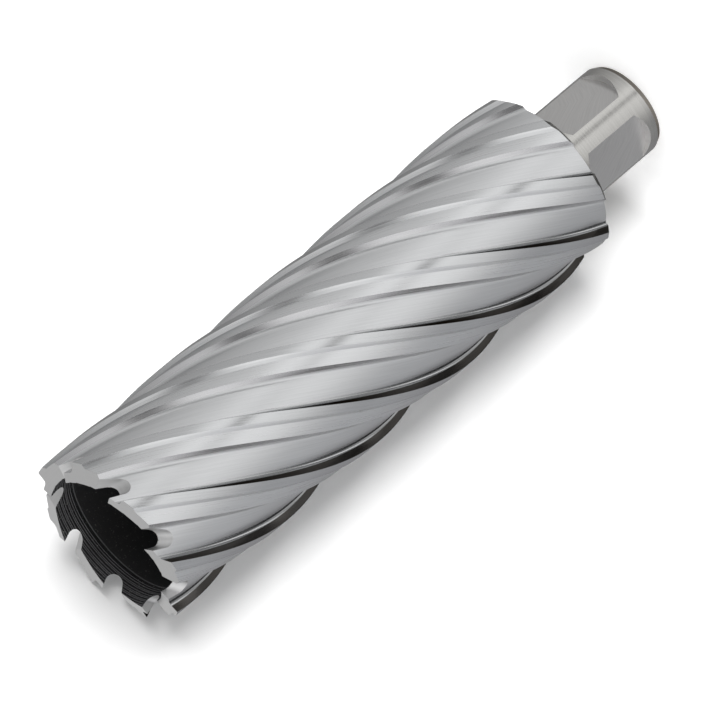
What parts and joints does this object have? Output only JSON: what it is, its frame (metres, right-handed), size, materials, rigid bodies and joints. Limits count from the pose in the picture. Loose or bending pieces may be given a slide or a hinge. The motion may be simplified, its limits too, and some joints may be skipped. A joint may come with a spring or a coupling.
{
  "type": "annular cutter",
  "caption": "Long hollow hole cutter ground from one steel bar, with right-hand helical chip flutes, a crown of alternating teeth and a plain side-lock shank with driving flats.",
  "frame": {"origin": "centre of the shank's end face, on the cutter's axis", "axes": "+Z along the axis, from the shank's end toward the teeth"},
  "size_m": [0.035, 0.035, 0.1365],
  "materials": {
    "ground_steel": "bright ground flutes and margins, satin turned shank, dark bore"
  },
  "bodies": {
    "root": {"cutter": "ground_steel"}
  },
  "joints": []
}
